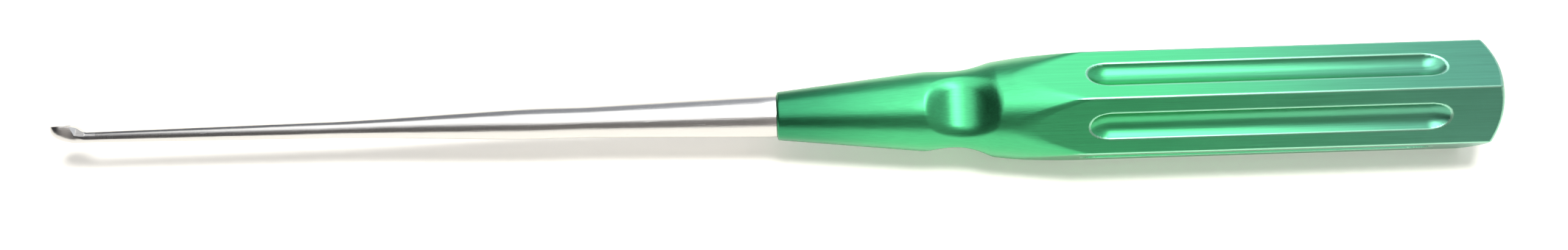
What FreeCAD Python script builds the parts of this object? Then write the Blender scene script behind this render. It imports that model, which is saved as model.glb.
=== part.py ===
import FreeCAD, Part
import math
import os
import re

import Sketcher

# Surgical curette: a one-piece steel shaft with a cup ground on its tip, in a turned and
# milled hexagonal handle. The tool lies on one flat of the handle, with its axis along X,
# the cup at the -X end and the butt at the +X end. The origin is under the middle of the box.

# Driving dimensions, in millimetres and degrees. Places on the shaft are measured from the
# tip of the cup, and places on the handle from its front face.
SIZES = [
    ("shaft_length", "117"),
    ("root_radius", "3.43"),
    ("root_round", "0.12"),
    ("root_cone_length", "30.6"),
    ("barrel_radius", "2.52"),
    ("barrel_length", "6.4"),
    ("taper_length", "37"),
    ("taper_lead", "9.2"),
    ("stem_radius", "1.31"),
    ("neck_radius", "0.84"),
    ("tang_radius", "2.5"),
    ("tang_length", "46"),
    ("tang_chamfer", "0.6"),
    ("cup_half_length", "1.7"),
    ("cup_half_width", "1.55"),
    ("cup_rim_length", "3.3"),
    ("cup_rim_height", "2.06"),
    ("cup_keel_length", "4.3"),
    ("cup_keel_height", "1.55"),
    ("cup_shoulder_length", "4.3"),
    ("cup_neck_length", "6.1"),
    ("rim_lead", "0.25"),
    ("heel_place", "4.3"),
    ("heel_height", "0.5"),
    ("heel_lead", "0.5"),
    ("heel_length", "2.7"),
    ("cup_wall", "0.3"),
    ("bowl_depth", "1.95"),
    ("cup_turn", "60"),
    ("handle_length", "115.2"),
    ("across_flats", "16.4"),
    ("ridge_round", "0.4"),
    ("nose_radius", "3.88"),
    ("nose_round", "0.35"),
    ("waist_start", "22.9"),
    ("waist_front_radius", "6.33"),
    ("waist_end", "34.3"),
    ("waist_rear_radius", "7.6"),
    ("waist_lead", "2.3"),
    ("waist_pull_place", "29.3"),
    ("waist_pull_radius", "5.9"),
    ("shoulder_end", "47.8"),
    ("dome_radius", "15"),
    ("butt_round", "0.3"),
    ("scoop_place", "28.5"),
    ("scoop_radius", "7.5"),
    ("scoop_floor", "4.85"),
    ("scoop_count", "3"),
    ("flute_start", "52"),
    ("flute_end", "101.4"),
    ("flute_section", "2.65"),
    ("flute_depth", "1.1"),
    ("flute_ramp", "6"),
    ("flute_ramp_turn", "50"),
    ("flute_count", "6"),
    ("bore_clearance", "0.05"),
    ("bore_end_gap", "1"),
    ("bore_point_length", "1.5"),
    ("cut_margin", "2"),
]
NAMES = [name for name, value in SIZES]

doc = FreeCAD.newDocument("Curette")
sheet = doc.addObject("Spreadsheet::Sheet", "Sizes")
for row, (name, value) in enumerate(SIZES, start=1):
    sheet.set("A%d" % row, name)
    sheet.set("B%d" % row, value)
    sheet.setAlias("B%d" % row, name)
doc.recompute()

# Worked-out dimensions, as expressions on the names above
APOTHEM = "(across_flats / 2)"
REACH = "(across_flats / 2 / cos(30))"
CLEAR = "(across_flats / 2 / cos(30) + cut_margin)"
OVERALL = "(shaft_length + handle_length)"
BARREL_END = "(shaft_length - root_cone_length)"
BARREL_START = "(shaft_length - root_cone_length - barrel_length)"
STEM_END = "(shaft_length - root_cone_length - barrel_length - taper_length)"
TANG_END = "(shaft_length + tang_length)"
BORE_RADIUS = "(tang_radius + bore_clearance)"
BORE_END = "(tang_length + bore_end_gap)"
FLUTE_FLOOR = "(across_flats / 2 - flute_depth)"


def size(name):
    return float(sheet.get(name))


def bound(text):
    """An expression on the names above, as the objects of the document read it."""
    return re.sub(r"\b[a-z_]+\b", lambda word: "Sizes." + word[0] if word[0] in NAMES else word[0], text)


def number(reader, text):
    return float(reader.evalExpression(bound(text)))


def make_body(name):
    body = doc.addObject("PartDesign::Body", name)
    body.Label = name
    return body


def origin_feature(body, role):
    return [feature for feature in body.Origin.OriginFeatures if feature.Role == role][0]


def make_sketch(body, role, name, place=None, lean=0):
    """A sketch on one of the body's own origin planes, leaned about its first axis, or moved
    along the plane's normal."""
    sketch = body.newObject("Sketcher::SketchObject", name)
    sketch.AttachmentSupport = [(origin_feature(body, role), "")]
    sketch.MapMode = "FlatFace"
    sketch.AttachmentOffset = FreeCAD.Placement(
        FreeCAD.Vector(), FreeCAD.Rotation(FreeCAD.Vector(1, 0, 0), lean))
    if place:
        sketch.setExpression("AttachmentOffset.Base.z", bound(place))
    return sketch


def rule(sketch, kind, *words):
    """A dimension whose last word is an expression on the sheet."""
    text = words[-1]
    index = sketch.addConstraint(Sketcher.Constraint(kind, *words[:-1], number(sketch, text)))
    sketch.setExpression("Constraints[%d]" % index, bound(text))


def end_at(sketch, edge, point):
    """Which end of an edge lies at a point: 1 for its start and 2 for its end."""
    return 1 if sketch.Geometry[edge].StartPoint.distanceToPoint(point) < 1e-6 else 2


def draw_outline(sketch, corners, arcs=None, curves=None):
    """A closed outline through corners, each a pair of expressions. By the corner that an
    edge starts at, arcs gives the radius of an arc that bows to the right of its run, and
    curves the one or two points that pull a smooth curve away from the straight run."""
    arcs = arcs or {}
    curves = curves or {}
    points = [FreeCAD.Vector(number(sketch, x), number(sketch, y), 0) for x, y in corners]
    following = points[1:] + points[:1]
    for index, (start, end) in enumerate(zip(points, following)):
        if index in arcs:
            radius = number(sketch, arcs[index])
            half = (end - start) * 0.5
            left = FreeCAD.Vector(-half.y, half.x, 0).normalize()
            bow = radius - math.sqrt(radius ** 2 - half.Length ** 2)
            sketch.addGeometry(Part.Arc(start, start + half - left * bow, end), False)
        elif index in curves:
            pulls = [FreeCAD.Vector(number(sketch, x), number(sketch, y), 0) for x, y in curves[index]]
            curve = Part.BezierCurve()
            curve.setPoles([start] + pulls + [end])
            sketch.addGeometry(curve.toBSpline(), False)
        else:
            sketch.addGeometry(Part.LineSegment(start, end), False)
    for index, (start, end) in enumerate(zip(points, following)):
        other = (index + 1) % len(points)
        sketch.addConstraint(Sketcher.Constraint(
            "Coincident", index, end_at(sketch, index, end), other, end_at(sketch, other, end)))
        held = end_at(sketch, index, start)
        for kind, axis, text in (("DistanceX", -2, corners[index][0]), ("DistanceY", -1, corners[index][1])):
            if text == "0":
                sketch.addConstraint(Sketcher.Constraint("PointOnObject", index, held, axis))
            else:
                rule(sketch, kind, -1, 1, index, held, text)
    for index, text in arcs.items():
        rule(sketch, "Radius", index, text)


def draw_circle(sketch, x, y, radius):
    """A circle about a pair of expressions, one of which may be 0."""
    centre = FreeCAD.Vector(number(sketch, x), number(sketch, y), 0)
    ring = sketch.addGeometry(
        Part.Circle(centre, FreeCAD.Vector(0, 0, 1), number(sketch, radius)), False)
    for kind, axis, text in (("DistanceX", -2, x), ("DistanceY", -1, y)):
        if text == "0":
            sketch.addConstraint(Sketcher.Constraint("PointOnObject", ring, 3, axis))
        else:
            rule(sketch, kind, -1, 1, ring, 3, text)
    rule(sketch, "Radius", ring, radius)


def turned(body, kind, name, sketch):
    """A full revolution or groove about the first axis of its sketch."""
    feature = body.newObject("PartDesign::" + kind, name)
    feature.Profile = sketch
    feature.ReferenceAxis = (sketch, ["H_Axis"])
    feature.Angle = 360
    return feature


def repeat_around(body, name, cuts, count):
    """Copies of cuts, spread evenly about the handle's long axis."""
    pattern = body.newObject("PartDesign::PolarPattern", name)
    pattern.Originals = cuts
    pattern.Axis = (origin_feature(body, "X_Axis"), [""])
    pattern.Angle = 360
    pattern.setExpression("Occurrences", bound(count))
    body.Tip = pattern
    return pattern


def round_edges(body, name, radius, wanted):
    """Round the edges of the body's last feature that a test picks."""
    doc.recompute()
    base = body.Tip
    edges = ["Edge%d" % place for place, edge in enumerate(base.Shape.Edges, start=1) if wanted(edge)]
    feature = body.newObject("PartDesign::Fillet", name)
    feature.Base = (base, edges)
    feature.setExpression("Radius", bound(radius))
    return feature


def ring_at(station):
    """A test for a full circle about the long axis at a place along it."""
    def wanted(edge):
        if not isinstance(edge.Curve, Part.Circle):
            return False
        centre = edge.Curve.Center
        return abs(centre.x - station) < 1e-4 and math.hypot(centre.y, centre.z) < 1e-4
    return wanted


# Handle, with its long axis along X and its front face at zero


def bar_stock(body):
    """A hexagonal bar that lies on a flat, with its ridges rounded."""
    section = make_sketch(body, "YZ_Plane", "bar_section")
    reach = number(section, REACH)
    corners = []
    for index in range(6):
        angle = math.radians(60 * index)
        corners.append(FreeCAD.Vector(reach * math.cos(angle), reach * math.sin(angle), 0))
    for index in range(6):
        section.addGeometry(Part.LineSegment(corners[index], corners[(index + 1) % 6]), False)
    ring = section.addGeometry(Part.Circle(FreeCAD.Vector(), FreeCAD.Vector(0, 0, 1), reach), True)
    section.addConstraint(Sketcher.Constraint("Coincident", ring, 3, -1, 1))
    for index in range(6):
        section.addConstraint(Sketcher.Constraint("Coincident", index, 2, (index + 1) % 6, 1))
        section.addConstraint(Sketcher.Constraint("PointOnObject", index, 1, ring))
    for index in range(5):
        section.addConstraint(Sketcher.Constraint("Equal", index, index + 1))
    section.addConstraint(Sketcher.Constraint("Horizontal", 1))
    rule(section, "Radius", ring, REACH)
    bar = body.newObject("PartDesign::Pad", "bar")
    bar.Profile = section
    bar.setExpression("Length", bound("handle_length"))

    def lengthwise(edge):
        first, last = edge.Vertexes[0].Point, edge.Vertexes[-1].Point
        return math.hypot(first.y - last.y, first.z - last.z) < 1e-6 < abs(first.x - last.x)

    round_edges(body, "ridges", "ridge_round", lengthwise)


def turned_front(body):
    """The nose cone, the hollow waist and the cone that runs out into the flats."""
    waste = make_sketch(body, "XZ_Plane", "front_waste", lean=90)
    run_out = "(shoulder_end + cut_margin * (shoulder_end - waist_end) / (" + REACH + " - waist_rear_radius))"
    nose_slope = "((waist_front_radius - nose_radius) / waist_start)"
    draw_outline(waste, [
        ("0", "nose_radius"),
        ("waist_start", "waist_front_radius"),
        ("waist_end", "waist_rear_radius"),
        (run_out, CLEAR),
        ("0", CLEAR),
    ], curves={1: [
        ("waist_start + waist_lead", "waist_front_radius + waist_lead * " + nose_slope),
        ("waist_pull_place", "waist_pull_radius"),
    ]})
    turned(body, "Groove", "front", waste)
    round_edges(body, "nose", "nose_round", ring_at(0))


def domed_butt(body):
    waste = make_sketch(body, "XZ_Plane", "butt_waste", lean=90)
    edge = "(handle_length - dome_radius + sqrt(dome_radius ^ 2 - " + CLEAR + " ^ 2))"
    past = "(handle_length + cut_margin)"
    draw_outline(waste, [
        ("handle_length", "0"),
        (edge, CLEAR),
        (past, CLEAR),
        (past, "0"),
    ], arcs={0: "dome_radius"})
    turned(body, "Groove", "butt", waste)

    def on_dome(edge):
        points = [edge.valueAt(edge.FirstParameter + share * (edge.LastParameter - edge.FirstParameter))
                  for share in (0.1, 0.5, 0.9)]
        centre = FreeCAD.Vector(size("handle_length") - size("dome_radius"), 0, 0)
        far = size("handle_length") / 2
        return all(point.x > far and abs(point.distanceToPoint(centre) - size("dome_radius")) < 1e-4
                   for point in points)

    round_edges(body, "butt_edge", "butt_round", on_dome)


def finger_scoops(body):
    """Round-bottomed scoops across every second ridge, behind the nose cone."""
    outline = make_sketch(body, "XY_Plane", "scoop_outline")
    draw_circle(outline, "scoop_place", "(scoop_floor + scoop_radius)", "scoop_radius")
    scoop = body.newObject("PartDesign::Pocket", "scoop")
    scoop.Profile = outline
    scoop.Midplane = True
    scoop.setExpression("Length", bound("2 * " + REACH))
    repeat_around(body, "scoops", [scoop], "scoop_count")


def flute_section(body, name, place):
    """The flute's round section on the upper flat, with the level line that its ramp turns on."""
    section = make_sketch(body, "YZ_Plane", name, place)
    draw_circle(section, "0", FLUTE_FLOOR + " + flute_section", "flute_section")
    height = number(section, FLUTE_FLOOR + " + flute_ramp")
    left = FreeCAD.Vector(-size("flute_section"), height, 0)
    right = FreeCAD.Vector(size("flute_section"), height, 0)
    pivot = section.addGeometry(Part.LineSegment(left, right), True)
    section.addConstraint(Sketcher.Constraint("Symmetric", pivot, 1, pivot, 2, -2))
    rule(section, "DistanceX", -1, 1, pivot, 2, "flute_section")
    rule(section, "DistanceY", -1, 1, pivot, 2, FLUTE_FLOOR + " + flute_ramp")
    return section


def flutes(body):
    """A round-bottomed flute along each flat, which climbs out on a ramp at both ends."""
    front = flute_section(body, "flute_front_section", "flute_start")
    run = body.newObject("PartDesign::Pocket", "flute_run")
    run.Profile = front
    run.Reversed = True
    run.setExpression("Length", bound("flute_end - flute_start"))
    cuts = [run]
    rear = flute_section(body, "flute_rear_section", "flute_end")
    for name, section, reverse in (("front_ramp", front, False), ("rear_ramp", rear, True)):
        ramp = body.newObject("PartDesign::Groove", name)
        ramp.Profile = section
        ramp.ReferenceAxis = (section, ["Axis0"])
        ramp.Reversed = reverse
        ramp.setExpression("Angle", bound("flute_ramp_turn"))
        cuts.append(ramp)
    repeat_around(body, "flute_set", cuts, "flute_count")


def tang_bore(body):
    """The blind bore for the shaft's tang, with the drill's point at its end."""
    waste = make_sketch(body, "XZ_Plane", "bore_waste")
    draw_outline(waste, [
        ("0", "0"),
        (BORE_END + " + bore_point_length", "0"),
        (BORE_END, BORE_RADIUS),
        ("0", BORE_RADIUS),
    ])
    turned(body, "Groove", "bore", waste)


def make_handle():
    body = make_body("handle")
    bar_stock(body)
    turned_front(body)
    domed_butt(body)
    finger_scoops(body)
    flutes(body)
    tang_bore(body)
    body.setExpression("Placement.Base.x", bound("shaft_length - " + OVERALL + " / 2"))
    body.setExpression("Placement.Base.z", bound(APOTHEM))
    return body


# Shaft, with its long axis along X and the tip of the cup at zero


def turned_shaft(body):
    """The tapered shaft from the neck behind the cup to the end of the tang."""
    profile = make_sketch(body, "XZ_Plane", "shaft_profile")
    draw_outline(profile, [
        ("cup_neck_length", "0"),
        (TANG_END, "0"),
        (TANG_END, "tang_radius - tang_chamfer"),
        (TANG_END + " - tang_chamfer", "tang_radius"),
        ("shaft_length", "tang_radius"),
        ("shaft_length", "root_radius"),
        (BARREL_END, "barrel_radius"),
        (BARREL_START, "barrel_radius"),
        (STEM_END, "stem_radius"),
        ("cup_neck_length", "neck_radius"),
    ], curves={7: [
        (BARREL_START + " - taper_lead", "barrel_radius"),
        (STEM_END + " + taper_lead", "stem_radius"),
    ]})
    turned(body, "Revolution", "shaft_blank", profile)

    def on_root(edge):
        return ring_at(size("shaft_length"))(edge) and abs(edge.Curve.Radius - size("root_radius")) < 1e-4

    round_edges(body, "root_edge", "root_round", on_root)


def keel(station):
    """Height of the cup's underside: a quarter of an ellipse that runs into the neck."""
    share = max(0.0, 1 - station / size("cup_keel_length"))
    drop = size("cup_keel_height") + size("neck_radius")
    return size("cup_keel_height") - drop * math.sqrt(1 - share ** 2)


def half_width(station):
    """Half the cup's width: half an oval in front, and a smooth wave down to the neck."""
    widest = size("cup_half_width")
    if station < size("cup_half_length"):
        return widest * math.sqrt(1 - (1 - station / size("cup_half_length")) ** 2)
    run = size("cup_shoulder_length") - size("cup_half_length")
    share = min(1.0, (station - size("cup_half_length")) / run)
    wave = (1 + math.cos(math.pi * share)) / 2
    return size("neck_radius") + (widest - size("neck_radius")) * wave


def section_centre(station):
    """Height of a section's middle: the rim's level in front, and the shaft's axis at the neck."""
    run = size("cup_neck_length") - size("cup_rim_length")
    share = min(1.0, max(0.0, (station - size("cup_rim_length")) / run))
    return size("cup_rim_height") * (1 + math.cos(math.pi * share)) / 2


def cup_stations():
    """Places of the cup's sections, close together at the tip, where its outline turns fast."""
    front = [size("cup_half_length") * (1 - math.cos(math.radians(angle))) for angle in (10, 30, 50, 70, 90)]
    middle = (size("cup_half_length") + size("cup_rim_length")) / 2
    rear_step = (size("cup_neck_length") - size("cup_rim_length")) / 3
    rear = [size("cup_rim_length") + rear_step * index for index in range(4)]
    return front + [middle] + rear


def cup_section(body, index, station):
    """An oval section across the cup, taller than it is wide."""
    section = make_sketch(body, "YZ_Plane", "cup_section_%d" % index)
    section.AttachmentOffset = FreeCAD.Placement(FreeCAD.Vector(0, 0, station), FreeCAD.Rotation())
    centre = FreeCAD.Vector(0, section_centre(station), 0)
    top = FreeCAD.Vector(0, 2 * centre.y - keel(station), 0)
    side = centre + FreeCAD.Vector(half_width(station), 0, 0)
    if top.distanceToPoint(centre) - half_width(station) > 1e-6:
        section.addGeometry(Part.Ellipse(top, side, centre), False)
    else:
        section.addGeometry(Part.Circle(centre, FreeCAD.Vector(0, 0, 1), half_width(station)), False)
    return section


def ground_cup(body):
    """The outside of the cup, and the cut that levels its rim, drops to the heel behind it and
    runs out along the neck."""
    sections = [cup_section(body, index, station) for index, station in enumerate(cup_stations())]
    blank = body.newObject("PartDesign::AdditiveLoft", "cup_blank")
    blank.Profile = sections[-1]
    blank.Sections = sections[-2::-1]
    above = "(3 * cup_rim_height)"
    run_out = "(heel_place + heel_length * (" + above + " - heel_height) / (neck_radius - heel_height))"
    waste = make_sketch(body, "XZ_Plane", "rim_waste")
    draw_outline(waste, [
        ("0", "cup_rim_height"),
        ("cup_rim_length", "cup_rim_height"),
        ("heel_place", "heel_height"),
        (run_out, above),
        ("0", above),
    ], curves={1: [
        ("cup_rim_length + rim_lead", "cup_rim_height"),
        ("heel_place - heel_lead", "heel_height"),
    ]})
    rim = body.newObject("PartDesign::Pocket", "rim")
    rim.Profile = waste
    rim.Midplane = True
    rim.setExpression("Length", bound("4 * cup_half_width"))


def make_shaft():
    body = make_body("shaft_blank_body")
    turned_shaft(body)
    ground_cup(body)
    bowl = doc.addObject("Part::Ellipsoid", "bowl")
    bowl.setExpression("Radius1", bound("bowl_depth"))
    bowl.setExpression("Radius2", bound("cup_half_length - cup_wall"))
    bowl.setExpression("Radius3", bound("cup_half_width - cup_wall"))
    bowl.setExpression("Placement.Base.x", bound("cup_half_length"))
    bowl.setExpression("Placement.Base.z", bound("cup_rim_height"))
    shaft = doc.addObject("Part::Cut", "curette_shaft")
    shaft.Label = "curette_shaft"
    shaft.Base = body
    shaft.Tool = bowl
    turn = FreeCAD.Rotation(FreeCAD.Vector(1, 0, 0), -size("cup_turn"))
    shaft.Placement = FreeCAD.Placement(FreeCAD.Vector(), turn)
    shaft.setExpression("Placement.Base.x", bound("-" + OVERALL + " / 2"))
    shaft.setExpression("Placement.Base.z", bound(APOTHEM))
    return shaft


def check(parts):
    """Stop before anything is written where a step failed or a solid is not sound."""
    for item in doc.Objects:
        if "Invalid" in item.State or "Error" in item.State:
            raise RuntimeError("%s failed: %s" % (item.Name, item.State))
    for part in parts:
        shape = part.Shape
        if shape.isNull() or not shape.isValid() or len(shape.Solids) != 1:
            raise RuntimeError("%s is not one sound solid" % part.Label)


def main():
    parts = [make_shaft(), make_handle()]
    doc.recompute()
    check(parts)
    os.makedirs("parts", exist_ok=True)
    for part in parts:
        part.Shape.exportStep("parts/%s.step" % part.Label)
        box = part.Shape.BoundBox
        print("%-14s volume %.1f  x %.2f to %.2f  y %.2f to %.2f  z %.2f to %.2f" % (
            part.Label, part.Shape.Volume, box.XMin, box.XMax, box.YMin, box.YMax, box.ZMin, box.ZMax))


main()
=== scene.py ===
"""Surgical curette: a satin steel shaft with a small cup, in an anodised hexagonal handle.

All sizes are in metres. Places on the handle are measured from its front face, and places
on the shaft from the tip of the cup. The tool lies along X, with the cup at the low end.
"""

import math

import bmesh
import bpy
import numpy as np
from mathutils import Matrix, Vector


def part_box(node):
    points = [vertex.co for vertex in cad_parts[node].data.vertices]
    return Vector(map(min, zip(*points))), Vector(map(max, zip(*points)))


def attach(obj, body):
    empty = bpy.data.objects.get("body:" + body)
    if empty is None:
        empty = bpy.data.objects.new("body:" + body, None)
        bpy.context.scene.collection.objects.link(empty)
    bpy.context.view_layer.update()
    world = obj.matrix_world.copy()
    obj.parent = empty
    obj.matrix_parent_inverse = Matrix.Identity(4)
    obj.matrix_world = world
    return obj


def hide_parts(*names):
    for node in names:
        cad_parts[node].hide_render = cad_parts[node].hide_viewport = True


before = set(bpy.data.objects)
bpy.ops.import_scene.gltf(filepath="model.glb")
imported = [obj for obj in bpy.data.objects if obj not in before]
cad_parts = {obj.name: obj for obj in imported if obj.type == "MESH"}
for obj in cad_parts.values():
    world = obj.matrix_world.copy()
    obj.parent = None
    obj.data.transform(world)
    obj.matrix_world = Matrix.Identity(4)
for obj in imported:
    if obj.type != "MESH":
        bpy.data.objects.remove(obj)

bl_info = {
    "name": "Surgical Curette",
    "version": (1, 0, 0),
    "blender": (4, 5, 0),
    "location": "View3D > Sidebar > Curette",
    "description": "Shaft, cup and fluted handle of a surgical curette, with its studio",
    "category": "Add Mesh",
}

BODY = "root"
SHAFT_NODE = "curette_shaft"
HANDLE_NODE = "handle"


# Places that come from the frame

HANDLE_LOW, HANDLE_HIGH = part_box(HANDLE_NODE)
HANDLE_FRONT = HANDLE_LOW.x
AXIS_HEIGHT = (HANDLE_LOW.z + HANDLE_HIGH.z) / 2


def metres(name, about, default):
    return bpy.props.FloatProperty(
        name=name, description=about, default=default, unit="LENGTH", precision=5)


def share(name, about, default, high=1.0):
    return bpy.props.FloatProperty(
        name=name, description=about, default=default, min=0.0, max=high)


def colour(name, about, default):
    return bpy.props.FloatVectorProperty(
        name=name, description=about, default=default, subtype="COLOR", size=3, min=0.0, max=1.0)


def turn(name, about, degrees):
    return bpy.props.FloatProperty(
        name=name, description=about, default=math.radians(degrees),
        unit="ROTATION", subtype="ANGLE")


class HandleSizes(bpy.types.PropertyGroup):
    """Sizes of the handle."""

    length: metres("Length", "Front face to the top of the domed butt", 0.1152)
    across_flats: metres("Across flats", "Width of the hexagonal bar", 0.0164)
    ridge_round: metres("Ridge round", "How far the rounding reaches from each ridge", 0.0002)
    nose_radius: metres("Nose radius", "Radius of the front face", 0.00388)
    nose_round: metres("Nose round", "Rounding of the front face's edge", 0.00035)
    waist_start: metres("Waist start", "Where the nose cone ends", 0.0229)
    waist_front_radius: metres("Waist front radius", "Radius at the end of the nose cone", 0.00633)
    waist_end: metres("Waist end", "Where the hollow waist ends", 0.0343)
    waist_rear_radius: metres("Waist rear radius", "Radius at the end of the waist", 0.0076)
    waist_lead: metres("Waist lead", "How far the nose cone's slope leads into the waist", 0.0023)
    waist_pull_place: metres("Waist pull place", "Place of the point that pulls the waist in", 0.0293)
    waist_pull_radius: metres("Waist pull radius", "Radius of the point that pulls the waist in", 0.0059)
    shoulder_end: metres("Shoulder end", "Where the rear cone runs out at the ridges", 0.0478)
    shoulder_round: metres("Shoulder round", "Softness of the line where cone and flats meet", 0.00025)
    waist_round: metres("Waist round", "Softness of the line behind the waist", 0.0005)
    dome_radius: metres("Dome radius", "Radius of the butt's dome", 0.015)
    butt_round: metres("Butt round", "Rounding of the butt's edge", 0.0003)
    scoop_place: metres("Scoop place", "Middle of the finger scoops", 0.0285)
    scoop_radius: metres("Scoop radius", "Radius of a finger scoop", 0.0075)
    scoop_floor: metres("Scoop floor", "Distance of a scoop's floor from the axis", 0.00485)
    scoop_round: metres("Scoop round", "Rounding of the edges of the finger scoops", 0.0008)
    flute_start: metres("Flute start", "Where a flute's level floor starts", 0.052)
    flute_end: metres("Flute end", "Where a flute's level floor ends", 0.1014)
    flute_section: metres("Flute section", "Radius of a flute's round section", 0.00265)
    flute_depth: metres("Flute depth", "Depth of a flute below its flat", 0.0011)
    flute_ramp: metres("Flute ramp", "Radius of the ramp at each end of a flute", 0.006)
    flute_round: metres("Flute round", "Rounding of the edges of the flutes", 0.00014)
    bore_radius: metres("Bore radius", "Radius of the bore for the shaft's tang", 0.00255)
    bore_length: metres("Bore length", "Depth of the bore's straight part", 0.047)
    bore_point: metres("Bore point", "Length of the bore's drill point", 0.0015)


class ShaftSizes(bpy.types.PropertyGroup):
    """Sizes of the shaft and its cup."""

    length: metres("Length", "Tip of the cup to the handle's front face", 0.117)
    root_radius: metres("Root radius", "Radius at the handle", 0.00343)
    root_round: metres("Root round", "Rounding of the shoulder's edge", 0.00012)
    root_cone_length: metres("Root cone length", "Length of the cone before the handle", 0.0306)
    barrel_radius: metres("Barrel radius", "Radius of the parallel stretch", 0.00252)
    barrel_length: metres("Barrel length", "Length of the parallel stretch", 0.0064)
    taper_length: metres("Taper length", "Length of the curved taper", 0.037)
    taper_lead: metres("Taper lead", "How far each end of the taper stays straight", 0.0092)
    stem_radius: metres("Stem radius", "Radius at the thin end of the taper", 0.00131)
    neck_radius: metres("Neck radius", "Radius behind the cup", 0.00084)
    tang_radius: metres("Tang radius", "Radius of the tang in the handle", 0.0025)
    tang_length: metres("Tang length", "Length of the tang", 0.046)
    tang_chamfer: metres("Tang chamfer", "Chamfer at the tang's end", 0.0006)
    cup_half_length: metres("Cup half length", "Tip to the widest place of the cup", 0.0017)
    cup_half_width: metres("Cup half width", "Half the width of the cup", 0.00155)
    cup_rim_length: metres("Cup rim length", "Length of the level rim", 0.0029)
    cup_rim_height: metres("Cup rim height", "Height of the rim over the shaft's axis", 0.0019)
    cup_keel_length: metres("Cup keel length", "Length of the rounded underside", 0.0043)
    cup_keel_height: metres("Cup keel height", "Height of the underside at the tip", 0.0011)
    cup_shoulder_length: metres("Cup shoulder length", "Where the cup's sides reach the neck", 0.0043)
    cup_neck_length: metres("Cup neck length", "Where the round neck starts", 0.0058)
    rim_lead: metres("Rim lead", "How far each end of the rim's slope stays level", 0.001)
    heel_start: metres("Heel start", "Where the near wall drops to the heel", 0.0033)
    heel_top: metres("Heel top", "Height over the axis at which that drop starts", 0.002)
    heel_place: metres("Heel place", "Where the drop reaches the ground flat", 0.00405)
    heel_height: metres("Heel height", "Height of the ground flat over the axis", 0.00082)
    heel_end: metres("Heel end", "Where the ground flat starts to run out", 0.0074)
    cup_wall: metres("Cup wall", "Width of the cup's edge", 0.0003)
    bowl_depth: metres("Bowl depth", "Depth of the bowl below the rim", 0.00195)
    cup_turn: turn("Cup turn", "How far the cup is turned away from straight up", 50)
    heel_turn: turn("Heel turn", "How far the ground flat faces the near side from straight up", 10)


class Finishes(bpy.types.PropertyGroup):
    """Colours and textures of the two metals, with painted shade at the nose cone's front, a painted
    reflection towards the butt and a painted highlight along the handle's edges.
    """

    steel: colour("Steel", "Colour of the satin steel", (0.78, 0.77, 0.75))
    green: colour("Green", "Colour of the anodised aluminium", (0.075, 0.56, 0.23))
    # Painted shade: this deeper green at the nose cone's front stands in for shade.
    green_front_painted_shade: colour("Front green", "Deeper colour at the nose cone's front", (0.035, 0.32, 0.14))
    # Painted reflection: this paler, greyer green at the butt stands in for the room's reflection.
    green_rear_painted_reflection: colour("Rear green", "Hazier colour at the butt", (0.13, 0.44, 0.30))
    # Lighter green along the edges: partly real wear, partly a painted highlight.
    green_edge_wear_and_highlight: colour("Green edge", "Lighter colour along the worn edges", (0.42, 0.80, 0.60))
    steel_roughness: share("Steel roughness", "Gloss of the steel, 0 is a mirror", 0.24)
    green_roughness: share("Green roughness", "Gloss of the anodised aluminium", 0.32)
    coat_roughness: share("Coat roughness", "Gloss of the clear anodised layer", 0.28)
    grain_height: share("Grain height", "Depth of the fine lengthwise grain", 0.25)


class Studio(bpy.types.PropertyGroup):
    """Floor, lamps and camera."""

    floor_size: metres("Floor size", "Side of the square floor", 4.0)
    floor_colour: colour("Floor colour", "Colour of the floor", (0.95, 0.92, 0.85))
    floor_lift: share("Floor lift", "Light added to the floor as the camera and the metals see it", 0.36)
    key_radiance: share("Key strength", "Brightness of the lamp that casts the shadow", 42.0, 100.0)
    glow_radiance: share("Glow strength", "Brightness of the lamp that shows in the metals", 5.0, 50.0)
    panel_radiance: share("Panel strength", "Brightness of the two overhead panels", 1.4, 50.0)
    camera_distance: metres("Camera distance", "Camera to the handle's front face", 0.19645)
    camera_elevation: turn("Camera elevation", "Height of the camera above level", 53.18)
    camera_roll: turn("Camera roll", "How far the tool's axis rises in the picture", 1.76)
    camera_lens: bpy.props.FloatProperty(
        name="Camera lens", description="Focal length on a 36 mm wide sensor",
        default=27.95, unit="CAMERA")


# Meshes


def mesh_object(name, points, faces):
    mesh = bpy.data.meshes.new(name)
    mesh.from_pydata([tuple(point) for point in points], [], faces)
    mesh.validate()
    item = bpy.data.objects.new(name, mesh)
    bpy.context.scene.collection.objects.link(item)
    return item


def made_plain(item):
    """Apply the object's modifiers and remove them."""
    evaluated = item.evaluated_get(bpy.context.evaluated_depsgraph_get())
    mesh = bpy.data.meshes.new_from_object(evaluated)
    item.modifiers.clear()
    item.data = mesh


def spread(first, last, step):
    """Evenly spaced values from first up to, but not with, last."""
    count = max(1, math.ceil(abs(last - first) / step - 1e-6))
    return list(np.linspace(first, last, count, endpoint=False))


def bezier(ends, count):
    """Points along a smooth curve through four pulling points."""
    share_along = np.linspace(0, 1, count)[:, None]
    first, second, third, last = (np.array(end, float) for end in ends)
    rest = 1 - share_along
    return (first * rest ** 3 + 3 * second * rest ** 2 * share_along
            + 3 * third * rest * share_along ** 2 + last * share_along ** 3)


def lattice_faces(rings, columns, closed):
    """Quads between rings of points, each with the same number of columns."""
    faces = []
    for ring in range(rings - 1):
        for column in range(columns if closed else columns - 1):
            following = (column + 1) % columns
            faces.append((ring * columns + column, ring * columns + following,
                          (ring + 1) * columns + following, (ring + 1) * columns + column))
    return faces


# Handle


def round_max(first, second, radius):
    """The larger of two distances, with the edge where they meet rounded."""
    outside = np.hypot(np.maximum(first + radius, 0), np.maximum(second + radius, 0))
    return np.minimum(np.maximum(first, second), -radius) + outside


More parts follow.
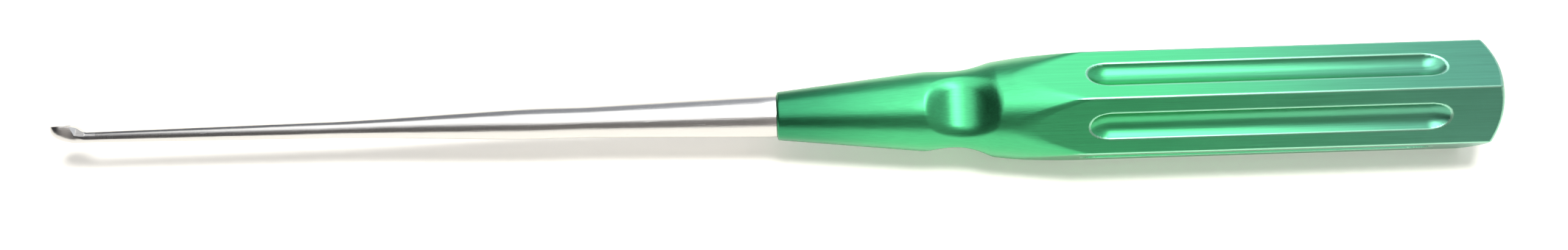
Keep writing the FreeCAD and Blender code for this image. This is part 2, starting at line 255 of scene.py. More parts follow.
class HandleShape:
    """Distance of points from the handle's surface, below zero inside: a hexagonal bar, turned
    to a nose cone, a hollow waist and a rear cone, domed at the butt, less scoops and flutes."""

    def __init__(self, sizes):
        self.sizes = sizes
        self.apothem = sizes.across_flats / 2
        nose_slope = (sizes.waist_front_radius - sizes.nose_radius) / sizes.waist_start
        lead_radius = sizes.waist_front_radius + sizes.waist_lead * nose_slope
        curve = bezier([
            (sizes.waist_start, sizes.waist_front_radius),
            (sizes.waist_start + sizes.waist_lead, lead_radius),
            (sizes.waist_pull_place, sizes.waist_pull_radius),
            (sizes.waist_end, sizes.waist_rear_radius),
        ], 64)
        reach = self.apothem / math.cos(math.radians(30))
        rear_slope = (reach - sizes.waist_rear_radius) / (sizes.shoulder_end - sizes.waist_end)
        past = (sizes.length, sizes.waist_rear_radius + rear_slope * (sizes.length - sizes.waist_end))
        self.profile = np.vstack([[0, sizes.nose_radius], curve, past])

    def turned(self, x, radius):
        """Distance from the turned profile, with its corners softened."""
        place, height = self.profile.T
        soft = self.sizes.waist_round
        before = np.interp(x - soft, place, height)
        after = np.interp(x + soft, place, height)
        middle = (before + 2 * np.interp(x, place, height) + after) / 4
        return (radius - middle) / np.hypot(1, (after - before) / (2 * soft))

    def __call__(self, points, rounding=1.0):
        """The distances. A rounding of 0 leaves the ridges and the edges of the flutes sharp."""
        sizes = self.sizes
        x, y, z = points.T
        radius = np.hypot(y, z)
        bar = np.full(len(x), -1.0)
        for index in range(6):
            angle = math.radians(30 + 60 * index)
            flat = y * math.cos(angle) + z * math.sin(angle) - self.apothem
            bar = round_max(bar, flat, sizes.ridge_round * rounding)
        solid = round_max(bar, self.turned(x, radius), sizes.shoulder_round)
        past_centre = np.maximum(x - sizes.length + sizes.dome_radius, 0)
        dome = np.hypot(past_centre, radius) - sizes.dome_radius
        solid = round_max(solid, dome, sizes.butt_round * rounding)
        solid = round_max(solid, -x, sizes.nose_round)
        for index in range(3):
            angle = math.radians(120 * index)
            height = y * math.cos(angle) + z * math.sin(angle)
            centre = sizes.scoop_floor + sizes.scoop_radius
            scoop = np.hypot(x - sizes.scoop_place, height - centre) - sizes.scoop_radius
            solid = round_max(solid, -scoop, sizes.scoop_round)
        beyond = np.maximum(sizes.flute_start - x, 0) + np.maximum(x - sizes.flute_end, 0)
        pivot = self.apothem - sizes.flute_depth + sizes.flute_ramp
        for index in range(6):
            angle = math.radians(30 + 60 * index)
            height = y * math.cos(angle) + z * math.sin(angle)
            aside = z * math.cos(angle) - y * math.sin(angle)
            around = np.hypot(beyond, pivot - height) - sizes.flute_ramp + sizes.flute_section
            flute = np.hypot(around, aside) - sizes.flute_section
            solid = round_max(solid, -flute, sizes.flute_round * rounding)
        return solid

    def lean(self, points):
        """Unit vectors straight out of the surface."""
        step = 2e-6
        slopes = []
        for axis in range(3):
            shift = np.zeros(3)
            shift[axis] = step
            slopes.append(self(points + shift) - self(points - shift))
        slopes = np.array(slopes).T
        return slopes / np.linalg.norm(slopes, axis=1)[:, None]

    def reached(self, starts, ways):
        """Where rays from inside the handle come out of it."""
        halvings = 36
        low = np.zeros(len(starts))
        high = np.full(len(starts), self.sizes.across_flats)
        for _ in range(halvings):
            middle = (low + high) / 2
            outside = self(starts + ways * middle[:, None]) > 0
            high = np.where(outside, middle, high)
            low = np.where(outside, low, middle)
        return starts + ways * middle[:, None]


def handle_rays(sizes):
    """Where each ring of rays starts on the axis, and its angle from straight back: forwards
    over the nose, straight out along the sides, and backwards over the butt. The rings lie
    close together where an edge crosses them."""
    nose_start = 0.002
    butt_start = sizes.length - 0.008
    cone_step = 0.002
    flute_step = 0.005
    butt_step = 0.001
    fine = 0.00014
    ramp_reach = 0.004
    past_shoulder = sizes.shoulder_end + 0.0004
    mouth = math.pi - math.atan(sizes.bore_radius / nose_start)
    edge = math.pi - math.atan(sizes.nose_radius / nose_start)
    near_edge = math.radians(4)
    fan = math.radians(4)
    fine_fan = math.radians(0.6)
    rays = [(nose_start, angle) for angle in
            spread(mouth, edge + near_edge, fan) + spread(edge + near_edge, edge - near_edge, fine_fan)
            + spread(edge - near_edge, math.pi / 2, fan)]
    sides = spread(nose_start, sizes.waist_start, cone_step)
    sides += spread(sizes.waist_start, past_shoulder, 2 * fine)
    sides += spread(past_shoulder, sizes.flute_start, fine)
    sides += spread(sizes.flute_start, sizes.flute_end, flute_step)
    sides += spread(sizes.flute_end, sizes.flute_end + ramp_reach, fine)
    sides += spread(sizes.flute_end + ramp_reach, butt_start, butt_step)
    rays += [(place, math.pi / 2) for place in sides]
    rim = []
    for reach in (sizes.across_flats / 2, sizes.across_flats / 2 / math.cos(math.radians(30))):
        edge_place = sizes.length - sizes.dome_radius + math.sqrt(sizes.dome_radius ** 2 - reach ** 2)
        rim.append(math.atan(reach / (edge_place - butt_start)))
    inner, outer = rim[0] - near_edge, rim[1] + near_edge
    rays += [(butt_start, angle) for angle in
             spread(math.pi / 2, outer, fan) + spread(outer, inner, fine_fan) + spread(inner, 0, fan)]
    return np.array(rays)


def sector_angles(sizes):
    """Angles of the columns of a third of the handle, from one plain ridge to the next, close
    together at the ridges and at the edges of the flutes."""
    apothem = sizes.across_flats / 2
    floor = sizes.flute_section - sizes.flute_depth
    flute_edge = math.degrees(math.atan(math.sqrt(sizes.flute_section ** 2 - floor ** 2) / apothem))
    edge_start = flute_edge - 0.6
    edge_end = flute_edge + 0.9
    near_ridge = 28
    ridge = 30.0
    half = (spread(0, edge_start, 1.2) + spread(edge_start, edge_end, 0.3)
            + spread(edge_end, near_ridge, 1.3) + spread(near_ridge, ridge, 0.5))
    to_ridge = [angle for angle in half if angle > 0] + [ridge]
    flat = [-angle for angle in to_ridge[::-1]] + [0.0] + to_ridge
    columns = [angle - ridge for angle in flat] + [angle + ridge for angle in flat[1:]]
    return np.radians(columns)


def third_of_handle(sizes, shape):
    """The part of the handle between two plain ridges, with the scoop in its middle, and its
    part of the bore."""
    angles = sector_angles(sizes)
    rays = handle_rays(sizes)
    around = np.array([np.zeros(len(angles)), np.cos(angles), np.sin(angles)]).T
    starts = np.repeat([[place, 0, 0] for place, angle in rays], len(angles), axis=0)
    ways = np.concatenate([
        np.array([math.cos(angle), 0, 0]) + math.sin(angle) * around for place, angle in rays])
    skin = shape.reached(starts, ways)
    bore_end = sizes.bore_length + sizes.bore_point
    bore_mouth = 0.0005
    pole_radius = 1e-7
    bore = [np.array([bore_end, 0, 0]) + pole_radius * around,
            np.array([sizes.bore_length, 0, 0]) + sizes.bore_radius * around,
            np.array([bore_mouth, 0, 0]) + sizes.bore_radius * around]
    pole = np.array([[sizes.length, 0, 0]]) + pole_radius * around
    points = np.concatenate(bore + [skin, pole])
    rings = len(rays) + 4
    return points, lattice_faces(rings, len(angles), closed=False)


def repeat_tree(name, material):
    """Geometry Nodes that turn copies of a sector about the X axis and join them."""
    tree = bpy.data.node_groups.new(name, "GeometryNodeTree")
    tree.interface.new_socket("Geometry", in_out="INPUT", socket_type="NodeSocketGeometry")
    count = tree.interface.new_socket("Count", in_out="INPUT", socket_type="NodeSocketInt")
    count.default_value = 3
    gap = tree.interface.new_socket("Join Distance", in_out="INPUT", socket_type="NodeSocketFloat")
    gap.default_value = 1e-6
    tree.interface.new_socket("Geometry", in_out="OUTPUT", socket_type="NodeSocketGeometry")
    inputs = tree.nodes.new("NodeGroupInput")
    outputs = tree.nodes.new("NodeGroupOutput")
    points = tree.nodes.new("GeometryNodePoints")
    index = tree.nodes.new("GeometryNodeInputIndex")
    part = tree.nodes.new("ShaderNodeMath")
    part.operation = "DIVIDE"
    full = tree.nodes.new("ShaderNodeMath")
    full.operation = "MULTIPLY"
    full.inputs[1].default_value = math.tau
    turned = tree.nodes.new("ShaderNodeCombineXYZ")
    instance = tree.nodes.new("GeometryNodeInstanceOnPoints")
    realize = tree.nodes.new("GeometryNodeRealizeInstances")
    merge = tree.nodes.new("GeometryNodeMergeByDistance")
    paint = tree.nodes.new("GeometryNodeSetMaterial")
    paint.inputs["Material"].default_value = material
    link = tree.links.new
    link(inputs.outputs["Count"], points.inputs["Count"])
    link(index.outputs["Index"], part.inputs[0])
    link(inputs.outputs["Count"], part.inputs[1])
    link(part.outputs[0], full.inputs[0])
    link(full.outputs[0], turned.inputs["X"])
    link(points.outputs[0], instance.inputs["Points"])
    link(inputs.outputs["Geometry"], instance.inputs["Instance"])
    link(turned.outputs[0], instance.inputs["Rotation"])
    link(instance.outputs["Instances"], realize.inputs["Geometry"])
    link(realize.outputs["Geometry"], merge.inputs["Geometry"])
    link(inputs.outputs["Join Distance"], merge.inputs["Distance"])
    link(merge.outputs["Geometry"], paint.inputs["Geometry"])
    link(paint.outputs["Geometry"], outputs.inputs["Geometry"])
    return tree


def true_normals(mesh, shape, origin):
    """Give each corner the surface's own normal, and mark how near each point is to an edge."""
    count = len(mesh.vertices)
    points = np.empty(count * 3)
    mesh.vertices.foreach_get("co", points)
    points = points.reshape(-1, 3) - np.array(origin)
    leans = shape.lean(points)
    corners = np.empty(len(mesh.loops), int)
    mesh.loops.foreach_get("vertex_index", corners)
    facing = np.empty(len(mesh.polygons) * 3)
    mesh.polygons.foreach_get("normal", facing)
    sides = np.empty(len(mesh.polygons), int)
    mesh.polygons.foreach_get("loop_total", sides)
    facing = np.repeat(facing.reshape(-1, 3), sides, axis=0)
    normals = leans[corners]
    least_match = 0.7
    astray = (normals * facing).sum(axis=1) < least_match
    normals[astray] = facing[astray]
    mesh.shade_smooth()
    mesh.normals_split_custom_set(normals.tolist())
    # The edge mark below lightens the green: partly wear, partly a painted highlight.
    wear_and_highlight_depth = 4e-6
    bore_margin = 1e-5
    depth = -shape(points, rounding=0.0)
    inside_bore = np.hypot(points[:, 1], points[:, 2]) < shape.sizes.bore_radius + bore_margin
    edge = np.where(inside_bore, 0.0, np.clip(depth / wear_and_highlight_depth, 0, 1))
    mesh.attributes.new("edge", "FLOAT", "POINT").data.foreach_set("value", edge.astype(np.float32))


class CURETTE_OT_handle(bpy.types.Operator):
    """Make the anodised hexagonal handle"""

    bl_idname = "curette.handle"
    bl_label = "Handle"

    def execute(self, context):
        sizes = context.scene.curette_handle
        shape = HandleShape(sizes)
        origin = Vector((HANDLE_FRONT, 0, AXIS_HEIGHT))
        points, faces = third_of_handle(sizes, shape)
        handle = mesh_object("fluted_handle", points, faces)
        material = anodised_green(context.scene.curette_finishes)
        handle.data.materials.append(material)
        repeat = handle.modifiers.new("Around", "NODES")
        repeat.node_group = repeat_tree("Around the axis", material)
        made_plain(handle)
        handle.data.transform(Matrix.Translation(origin))
        face_outwards(handle.data)
        true_normals(handle.data, shape, origin)
        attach(handle, BODY)
        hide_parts(HANDLE_NODE)
        return {"FINISHED"}


def face_outwards(mesh):
    """Join points that lie together, drop faces without area and turn the rest outwards."""
    together = 2e-6
    no_length = 1e-7
    work = bmesh.new()
    work.from_mesh(mesh)
    bmesh.ops.remove_doubles(work, verts=work.verts, dist=together)
    bmesh.ops.dissolve_degenerate(work, dist=no_length, edges=work.edges)
    bmesh.ops.recalc_face_normals(work, faces=work.faces)
    work.to_mesh(mesh)
    work.free()


# Shaft


def cup_keel(sizes, place):
    """Height of the cup's underside: a quarter of an ellipse that runs into the neck."""
    part = np.maximum(0.0, 1 - place / sizes.cup_keel_length)
    drop = sizes.cup_keel_height + sizes.neck_radius
    return sizes.cup_keel_height - drop * np.sqrt(1 - part ** 2)


def cup_half_width(sizes, place):
    """Half the cup's width: half an oval in front, and a smooth wave down to the neck."""
    if place < sizes.cup_half_length:
        return sizes.cup_half_width * math.sqrt(1 - (1 - place / sizes.cup_half_length) ** 2)
    run = sizes.cup_shoulder_length - sizes.cup_half_length
    part = min(1.0, (place - sizes.cup_half_length) / run)
    wave = (1 + math.cos(math.pi * part)) / 2
    return sizes.neck_radius + (sizes.cup_half_width - sizes.neck_radius) * wave


def cup_centre(sizes, place):
    """Height of a section's middle: the rim in front, and the shaft's axis at the neck."""
    part = (place - sizes.cup_rim_length) / (sizes.cup_neck_length - sizes.cup_rim_length)
    return sizes.cup_rim_height * (1 + math.cos(math.pi * min(1.0, max(0.0, part)))) / 2


def shaft_sections(sizes):
    """Place, middle height, half width and half height of each ring, from the tip to the tang."""
    tip_rings = 30
    corner_steps = 4
    cup_step = 0.0001
    stem_step = 0.003
    places = [sizes.cup_half_length * (1 - math.cos(math.pi / 2 * index / tip_rings))
              for index in range(1, tip_rings)]
    places += spread(sizes.cup_half_length, sizes.cup_neck_length, cup_step)
    rings = []
    for place in places:
        centre = cup_centre(sizes, place)
        rings.append((place, centre, cup_half_width(sizes, place), centre - cup_keel(sizes, place)))
    barrel_end = sizes.length - sizes.root_cone_length
    barrel_start = barrel_end - sizes.barrel_length
    stem_end = barrel_start - sizes.taper_length
    outline = [(place, sizes.neck_radius + (sizes.stem_radius - sizes.neck_radius)
                * (place - sizes.cup_neck_length) / (stem_end - sizes.cup_neck_length))
               for place in spread(sizes.cup_neck_length, stem_end, stem_step)]
    outline += list(bezier([
        (stem_end, sizes.stem_radius), (stem_end + sizes.taper_lead, sizes.stem_radius),
        (barrel_start - sizes.taper_lead, sizes.barrel_radius), (barrel_start, sizes.barrel_radius),
    ], 48))
    outline += [(barrel_end, sizes.barrel_radius)]
    outline += [(place, sizes.barrel_radius + (sizes.root_radius - sizes.barrel_radius)
                 * (place - barrel_end) / sizes.root_cone_length)
                for place in spread(barrel_end, sizes.length - sizes.root_round, stem_step)[1:]]
    for index in range(corner_steps + 1):
        angle = math.pi / 2 * index / corner_steps
        outline.append((sizes.length - sizes.root_round * (1 - math.sin(angle)),
                        sizes.root_radius - sizes.root_round * (1 - math.cos(angle))))
    tang_end = sizes.length + sizes.tang_length
    outline += [(sizes.length, sizes.tang_radius), (tang_end - sizes.tang_chamfer, sizes.tang_radius),
                (tang_end, sizes.tang_radius - sizes.tang_chamfer)]
    return rings + [(place, 0.0, radius, radius) for place, radius in outline]


def shaft_blank(sizes):
    """The shaft and the outside of the cup as one closed skin."""
    columns = 96
    points = []
    for place, centre, half_width, half_height in shaft_sections(sizes):
        for index in range(columns):
            angle = math.tau * index / columns
            points.append((place, half_width * math.cos(angle), centre + half_height * math.sin(angle)))
    rings = len(points) // columns
    faces = lattice_faces(rings, columns, closed=True)
    tip = len(points)
    points.append((0.0, 0.0, cup_centre(sizes, 0.0)))
    end = len(points)
    points.append((sizes.length + sizes.tang_length, 0.0, 0.0))
    last = (rings - 1) * columns
    for index in range(columns):
        following = (index + 1) % columns
        faces.append((tip, following, index))
        faces.append((end, last + index, last + following))
    return mesh_object("steel_shaft", points, faces)


def block_cutter(name, outline, aside):
    """A block across the cup, with the outline as its side."""
    points = [(place, side, height) for side in (-aside, aside) for place, height in outline]
    count = len(outline)
    faces = [tuple(range(count)), tuple(range(2 * count - 1, count - 1, -1))]
    for index in range(count):
        following = (index + 1) % count
        faces.append((index, count + index, count + following, following))
    return mesh_object(name, points, faces)


def rim_cutter(sizes):
    """Levels the cup's rim and slopes down to the neck."""
    slope = bezier([
        (sizes.cup_rim_length, sizes.cup_rim_height),
        (sizes.cup_rim_length + sizes.rim_lead, sizes.cup_rim_height),
        (sizes.cup_neck_length - sizes.rim_lead, sizes.neck_radius),
        (sizes.cup_neck_length, sizes.neck_radius),
    ], 24)
    above = 3 * sizes.cup_rim_height
    outline = [(-sizes.cup_rim_length, sizes.cup_rim_height), *slope,
               (sizes.cup_neck_length, above), (-sizes.cup_rim_length, above)]
    return block_cutter("rim_cutter", outline, 2 * sizes.cup_rim_height)


def heel_cutter(sizes):
    """Grinds a flat behind the cup, almost level as the tool lies."""
    above = 3 * sizes.cup_rim_height
    outline = [(sizes.heel_start, sizes.heel_top), (sizes.heel_place, sizes.heel_height),
               (sizes.heel_end, sizes.heel_height), (sizes.heel_end + above, above),
               (sizes.heel_start, above)]
    cutter = block_cutter("heel_cutter", outline, 2 * sizes.cup_rim_height)
    cutter.data.transform(Matrix.Rotation(sizes.cup_turn + sizes.heel_turn, 4, "X"))
    return cutter


def bowl_cutter(sizes):
    """The rounded bowl of the cup."""
    rings, columns = 48, 96
    points = []
    for ring in range(1, rings):
        level = math.pi * ring / rings
        for index in range(columns):
            angle = math.tau * index / columns
            points.append((
                sizes.cup_half_length
                + (sizes.cup_half_length - sizes.cup_wall) * math.sin(level) * math.cos(angle),
                (sizes.cup_half_width - sizes.cup_wall) * math.sin(level) * math.sin(angle),
                sizes.cup_rim_height + sizes.bowl_depth * math.cos(level)))
    faces = lattice_faces(rings - 1, columns, closed=True)
    for pole, first in ((sizes.bowl_depth, 0), (-sizes.bowl_depth, (rings - 2) * columns)):
        tip = len(points)
        points.append((sizes.cup_half_length, 0.0, sizes.cup_rim_height + pole))
        faces += [(tip, first + index, first + (index + 1) % columns) for index in range(columns)]
    return mesh_object("bowl_cutter", points, faces)


class CURETTE_OT_shaft(bpy.types.Operator):
    """Make the steel shaft with its cup"""

    bl_idname = "curette.shaft"
    bl_label = "Shaft and Cup"

    def execute(self, context):
        sizes = context.scene.curette_shaft
        sharp = math.radians(24)
        shaft = shaft_blank(sizes)
        cutters = [rim_cutter(sizes), heel_cutter(sizes), bowl_cutter(sizes)]
        for cutter in cutters:
            face_outwards(cutter.data)
            cut = shaft.modifiers.new(cutter.name, "BOOLEAN")
            cut.operation = "DIFFERENCE"
            cut.solver = "EXACT"
            cut.object = cutter
        face_outwards(shaft.data)
        made_plain(shaft)
        for cutter in cutters:
            bpy.data.objects.remove(cutter)
        place = Vector((HANDLE_FRONT - sizes.length, 0, AXIS_HEIGHT))
        shaft.data.transform(Matrix.Translation(place) @ Matrix.Rotation(-sizes.cup_turn, 4, "X"))
        shaft.data.shade_smooth()
        shaft.data.set_sharp_from_angle(angle=sharp)
        shaft.data.materials.append(satin_steel(context.scene.curette_finishes))
        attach(shaft, BODY)
        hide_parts(SHAFT_NODE)
        return {"FINISHED"}


# Materials


def shader_group(name, takes, gives):
    """An empty shader node group. takes and gives are (name, kind, value) of its sockets."""
    group = bpy.data.node_groups.new(name, "ShaderNodeTree")
    for label, kind, value in takes:
        socket = group.interface.new_socket(label, in_out="INPUT", socket_type="NodeSocket" + kind)
        if value is not None:
            socket.default_value = value
    for label, kind in gives:
        group.interface.new_socket(label, in_out="OUTPUT", socket_type="NodeSocket" + kind)
    return group, group.nodes.new("NodeGroupInput"), group.nodes.new("NodeGroupOutput")


def grain_group():
    """Fine scratches along X, as a value about one half."""
    group, inputs, outputs = shader_group(
        "Lengthwise grain",
        [("Vector", "Vector", None), ("Stretch", "Float", 40.0), ("Scale", "Float", 4000.0)],
        [("Value", "Float")])
    spaced = group.nodes.new("ShaderNodeVectorMath")
    spaced.operation = "MULTIPLY"
    squeeze = group.nodes.new("ShaderNodeCombineXYZ")
    squeeze.inputs["Y"].default_value = 1.0
    squeeze.inputs["Z"].default_value = 1.0
    invert = group.nodes.new("ShaderNodeMath")
    invert.operation = "DIVIDE"
    invert.inputs[0].default_value = 1.0
    noise = group.nodes.new("ShaderNodeTexNoise")
    noise.inputs["Detail"].default_value = 3.0
    noise.inputs["Roughness"].default_value = 0.6
    link = group.links.new
    link(inputs.outputs["Stretch"], invert.inputs[1])
    link(invert.outputs[0], squeeze.inputs["X"])
    link(inputs.outputs["Vector"], spaced.inputs[0])
    link(squeeze.outputs[0], spaced.inputs[1])
    link(spaced.outputs[0], noise.inputs["Vector"])
    link(inputs.outputs["Scale"], noise.inputs["Scale"])
    link(noise.outputs[0], outputs.inputs["Value"])
    return group


def group_node(material, name, maker, **values):
    """A node for a shared group, which is built the first time it is asked for."""
    node = material.node_tree.nodes.new("ShaderNodeGroup")
    node.node_tree = bpy.data.node_groups.get(name) or maker()
    for label, value in values.items():
        node.inputs[label].default_value = value
    return node


def ranged(material, source, low, high):
    """A value from 0 to 1 brought between low and high."""
    node = material.node_tree.nodes.new("ShaderNodeMapRange")
    node.inputs["To Min"].default_value = low
    node.inputs["To Max"].default_value = high
    material.node_tree.links.new(source, node.inputs["Value"])
    return node.outputs["Result"]


def mixed(material, factor, first, second):
    """A colour between first and second, each a colour or another node's output."""
    node = material.node_tree.nodes.new("ShaderNodeMix")
    node.data_type = "RGBA"
    material.node_tree.links.new(factor, node.inputs[0])
    for socket, value in ((node.inputs[6], first), (node.inputs[7], second)):
        if isinstance(value, bpy.types.NodeSocket):
            material.node_tree.links.new(value, socket)
        else:
            socket.default_value = (*value, 1.0)
    return node.outputs[2]


def new_metal(name, roughness):
    material = bpy.data.materials.new(name)
    material.use_nodes = True
    shader = material.node_tree.nodes["Principled BSDF"]
    shader.inputs["Metallic"].default_value = 1.0
    shader.inputs["Roughness"].default_value = roughness
    return material, shader


def grained(material, shader, height, gloss, stretch, scale):
    """Lay the lengthwise grain over a metal's gloss, between the two values given, and over its
    surface. Gives the place on the object and the grain's value."""
    grain_distance = 0.00005
    nodes, link = material.node_tree.nodes, material.node_tree.links.new
    place = nodes.new("ShaderNodeTexCoord")
    grain = group_node(material, "Lengthwise grain", grain_group, Stretch=stretch, Scale=scale)
    link(place.outputs["Object"], grain.inputs["Vector"])
    value = grain.outputs["Value"]
    link(ranged(material, value, *gloss), shader.inputs["Roughness"])
    bump = nodes.new("ShaderNodeBump")
    bump.inputs["Strength"].default_value = height
    bump.inputs["Distance"].default_value = grain_distance
    link(value, bump.inputs["Height"])
    link(bump.outputs["Normal"], shader.inputs["Normal"])
    return place, value


def satin_steel(finishes):
    grain_shade = 0.86
    roughness = finishes.steel_roughness
    material, shader = new_metal("satin_steel", roughness)
    gloss = (roughness - 0.05, roughness + 0.07)
    _, grain = grained(material, shader, finishes.grain_height, gloss, stretch=30.0, scale=5000.0)
    steel = tuple(finishes.steel)
    dark = tuple(grain_shade * value for value in steel)
    tone = mixed(material, grain, dark, steel)
    material.node_tree.links.new(tone, shader.inputs["Base Color"])
    return material


def along(material, place, first, last):
    """A value that rises from 0 to 1 between two places on the handle."""
    nodes, link = material.node_tree.nodes, material.node_tree.links.new
    split = nodes.new("ShaderNodeSeparateXYZ")
    rise = nodes.new("ShaderNodeMapRange")
    rise.interpolation_type = "SMOOTHSTEP"
    rise.inputs["From Min"].default_value = HANDLE_FRONT + first
    rise.inputs["From Max"].default_value = HANDLE_FRONT + last
    link(place.outputs["Object"], split.inputs[0])
    link(split.outputs["X"], rise.inputs["Value"])
    return rise.outputs["Result"]


def anodised_green(finishes):
    painted_reflection_start, painted_reflection_end = 0.05, 0.115
    painted_shade_end = 0.022
    grain_darkening = 0.3
    most_worn_and_highlighted = 0.7
    roughness = finishes.green_roughness
    material, shader = new_metal("anodised_green", roughness)
    shader.inputs["Coat Weight"].default_value = 0.3
    shader.inputs["Coat Roughness"].default_value = finishes.coat_roughness
    gloss = (roughness - 0.04, roughness + 0.06)
    place, grain = grained(material, shader, finishes.grain_height, gloss, stretch=40.0, scale=4000.0)
    # Painted reflection: the green turns paler and greyer towards the butt.
    painted_reflection = along(material, place, painted_reflection_start, painted_reflection_end)
    rear = mixed(material, painted_reflection, tuple(finishes.green), tuple(finishes.green_rear_painted_reflection))
    # Painted shade: the green deepens towards the nose cone's front.
    depth = along(material, place, 0.0, painted_shade_end)
    tone = mixed(material, depth, tuple(finishes.green_front_painted_shade), rear)
    body = mixed(material, ranged(material, grain, grain_darkening, 0.0), tone, (0.0, 0.0, 0.0))
    # Lighter green along the edges: partly real wear, partly a painted highlight.
    edge = material.node_tree.nodes.new("ShaderNodeAttribute")
    edge.attribute_name = "edge"
    worn_and_highlighted = ranged(material, edge.outputs["Fac"], 0.0, most_worn_and_highlighted)
    shown = mixed(material, worn_and_highlighted, body, tuple(finishes.green_edge_wear_and_highlight))
    material.node_tree.links.new(shown, shader.inputs["Base Color"])
    return material


# Studio


def seen_directly(tree):
    """One where a ray comes from the camera, a reflection or glass, and zero for soft light."""
    path = tree.nodes.new("ShaderNodeLightPath")
    seen = path.outputs["Is Camera Ray"]
    for kind in ("Is Glossy Ray", "Is Transmission Ray"):
        either = tree.nodes.new("ShaderNodeMath")
        either.operation = "MAXIMUM"
        tree.links.new(seen, either.inputs[0])
        tree.links.new(path.outputs[kind], either.inputs[1])
        seen = either.outputs[0]
    return seen


def pale_floor(studio):
    """A matt floor that the key lamp and some light of its own show white, with the shadow kept."""
    material = bpy.data.materials.new("pale_floor")
    material.use_nodes = True
    tree = material.node_tree
    shader = tree.nodes["Principled BSDF"]
    shader.inputs["Base Color"].default_value = (*studio.floor_colour, 1.0)
    shader.inputs["Roughness"].default_value = 0.9
    shader.inputs["Specular IOR Level"].default_value = 0.0
    shader.inputs["Emission Color"].default_value = (*studio.floor_colour, 1.0)
    lifted = ranged(material, seen_directly(tree), 0.0, studio.floor_lift)
    tree.links.new(lifted, shader.inputs["Emission Strength"])
    return material


def room_world():
    """A dim warm room in front, a cool one behind, both dark past the cup's end, and a white
    backdrop for the camera."""
    front = (0.43, 0.40, 0.38, 1.0)
    behind = (0.82, 0.86, 0.94, 1.0)
    dark = (0.03, 0.03, 0.035, 1.0)
    white = (1.0, 1.0, 1.0, 1.0)
    front_edge, behind_edge = -0.6, 0.6
    dark_edge, lit_edge = -0.62, 0.45
    world = bpy.data.worlds.new("room")
    world.use_nodes = True
    tree = world.node_tree
    place = tree.nodes.new("ShaderNodeTexCoord")
    split = tree.nodes.new("ShaderNodeSeparateXYZ")
    across = tree.nodes.new("ShaderNodeMapRange")
    across.inputs["From Min"].default_value = front_edge
    across.inputs["From Max"].default_value = behind_edge
    room = tree.nodes.new("ShaderNodeMix")
    room.data_type = "RGBA"
    room.inputs[6].default_value = front
    room.inputs[7].default_value = behind
    sideways = tree.nodes.new("ShaderNodeMapRange")
    sideways.inputs["From Min"].default_value = dark_edge
    sideways.inputs["From Max"].default_value = lit_edge
    shaded = tree.nodes.new("ShaderNodeMix")
    shaded.data_type = "RGBA"
    shaded.inputs[6].default_value = dark
    path = tree.nodes.new("ShaderNodeLightPath")
    shown = tree.nodes.new("ShaderNodeMix")
    shown.data_type = "RGBA"
    shown.inputs[7].default_value = white
    backdrop = tree.nodes["Background"]
    link = tree.links.new
    link(place.outputs["Generated"], split.inputs[0])
    link(split.outputs["Y"], across.inputs["Value"])
    link(split.outputs["X"], sideways.inputs["Value"])
    link(across.outputs["Result"], room.inputs[0])
    link(sideways.outputs["Result"], shaded.inputs[0])
    link(room.outputs[2], shaded.inputs[7])
    link(shaded.outputs[2], shown.inputs[6])
    link(path.outputs["Is Camera Ray"], shown.inputs[0])
    link(shown.outputs[2], backdrop.inputs["Color"])
    return world


def overhead_lamp(name, radiance, centre, width, depth):
    """A rectangular lamp over the tool that shines at the handle's front."""
    lamp = bpy.data.lights.new(name, "AREA")
    lamp.shape = "RECTANGLE"
    lamp.size = width
    lamp.size_y = depth
    lamp.energy = radiance * math.pi * width * depth
    item = bpy.data.objects.new(name, lamp)
    target = Vector((0, 0, AXIS_HEIGHT))
    item.location = centre
    item.rotation_euler = (target - Vector(centre)).to_track_quat("-Z", "Y").to_euler()
    bpy.context.scene.collection.objects.link(item)
    return item


def photo_camera(studio):
    """The camera, close over the handle's front, with the tool's axis nearly level."""
    rise = studio.camera_elevation
    towards = Vector((0, -math.cos(rise), math.sin(rise)))
    upwards = Vector((0, math.sin(rise), math.cos(rise)))
    aside = 0.000767
    lower = -0.001445
    place = (Vector((HANDLE_FRONT, 0, AXIS_HEIGHT)) + Vector((aside, 0, 0))
             + towards * studio.camera_distance + upwards * lower)
    slant = 0.0016
    right = Vector((math.cos(studio.camera_roll), 0, 0)) - upwards * math.sin(studio.camera_roll)
    right = (right + towards * slant).normalized()
    back = (towards - right * towards.dot(right)).normalized()
    above = back.cross(right)
    data = bpy.data.cameras.new("photo_camera")
    data.sensor_width = 36.0
    data.lens = studio.camera_lens
    data.clip_start = 0.005
    camera = bpy.data.objects.new("photo_camera", data)
    camera.matrix_world = Matrix.Translation(place) @ Matrix((right, above, back)).transposed().to_4x4()
    bpy.context.scene.collection.objects.link(camera)
    bpy.context.scene.camera = camera


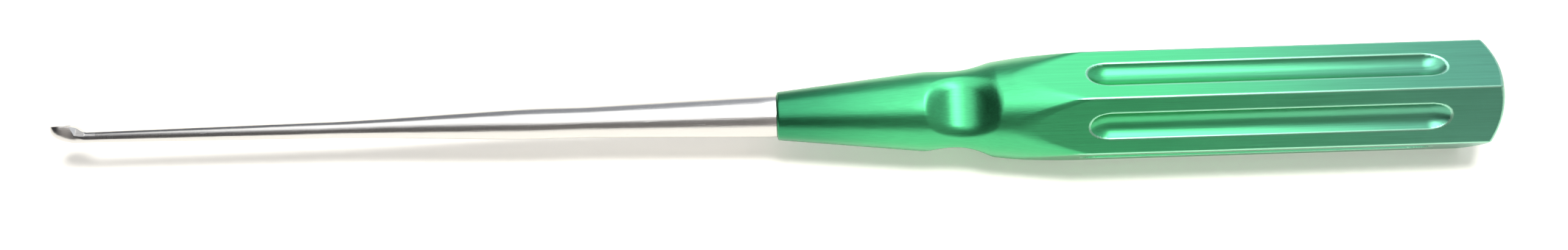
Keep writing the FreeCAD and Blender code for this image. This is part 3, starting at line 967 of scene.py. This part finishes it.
class CURETTE_OT_stage(bpy.types.Operator):
    """Set up the floor, the lamps, the room and the camera"""

    bl_idname = "curette.stage"
    bl_label = "Studio"

    def execute(self, context):
        studio = context.scene.curette_studio
        half = studio.floor_size / 2
        level = -0.00002
        corners = [(-half, -half, level), (half, -half, level),
                   (half, half, level), (-half, half, level)]
        floor = mesh_object("floor", corners, [(0, 1, 2, 3)])
        floor.data.materials.append(pale_floor(studio))
        context.scene.world = room_world()
        key = overhead_lamp("key", studio.key_radiance, (0.045, -0.05, 0.52), 0.13, 0.13)
        key.visible_glossy = False
        seen_in_metal = (
            ("glow", studio.glow_radiance, (0.17, -0.05, 0.52), 0.45, 0.16),
            ("panel", studio.panel_radiance, (-0.06, -0.02, 0.54), 0.84, 0.54),
            ("rear_panel", studio.panel_radiance, (0.17, 0.42, 0.52), 0.36, 0.3),
        )
        for name, radiance, centre, width, depth in seen_in_metal:
            lamp = overhead_lamp(name, radiance, centre, width, depth)
            lamp.visible_diffuse = False
        photo_camera(studio)
        context.scene.view_settings.view_transform = "Standard"
        return {"FINISHED"}


class CURETTE_PT_panel(bpy.types.Panel):
    """Buttons and sizes of the curette"""

    bl_label = "Curette"
    bl_idname = "CURETTE_PT_panel"
    bl_space_type = "VIEW_3D"
    bl_region_type = "UI"
    bl_category = "Curette"

    def draw(self, context):
        for group, operator in (("curette_handle", "curette.handle"), ("curette_shaft", "curette.shaft"),
                                ("curette_studio", "curette.stage")):
            box = self.layout.box()
            settings = getattr(context.scene, group)
            for name in settings.__annotations__:
                box.prop(settings, name)
            box.operator(operator)
        finishes = context.scene.curette_finishes
        for name in finishes.__annotations__:
            self.layout.prop(finishes, name)


CLASSES = [HandleSizes, ShaftSizes, Finishes, Studio,
           CURETTE_OT_handle, CURETTE_OT_shaft, CURETTE_OT_stage, CURETTE_PT_panel]
SETTINGS = {"curette_handle": HandleSizes, "curette_shaft": ShaftSizes,
            "curette_finishes": Finishes, "curette_studio": Studio}


def register():
    for item in CLASSES:
        bpy.utils.register_class(item)
    for name, kind in SETTINGS.items():
        setattr(bpy.types.Scene, name, bpy.props.PointerProperty(type=kind))


def unregister():
    for name in SETTINGS:
        delattr(bpy.types.Scene, name)
    for item in reversed(CLASSES):
        bpy.utils.unregister_class(item)


def main():
    register()
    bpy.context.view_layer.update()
    bpy.ops.curette.shaft()
    bpy.ops.curette.handle()
    bpy.ops.curette.stage()


if __name__ == "__main__":
    main()
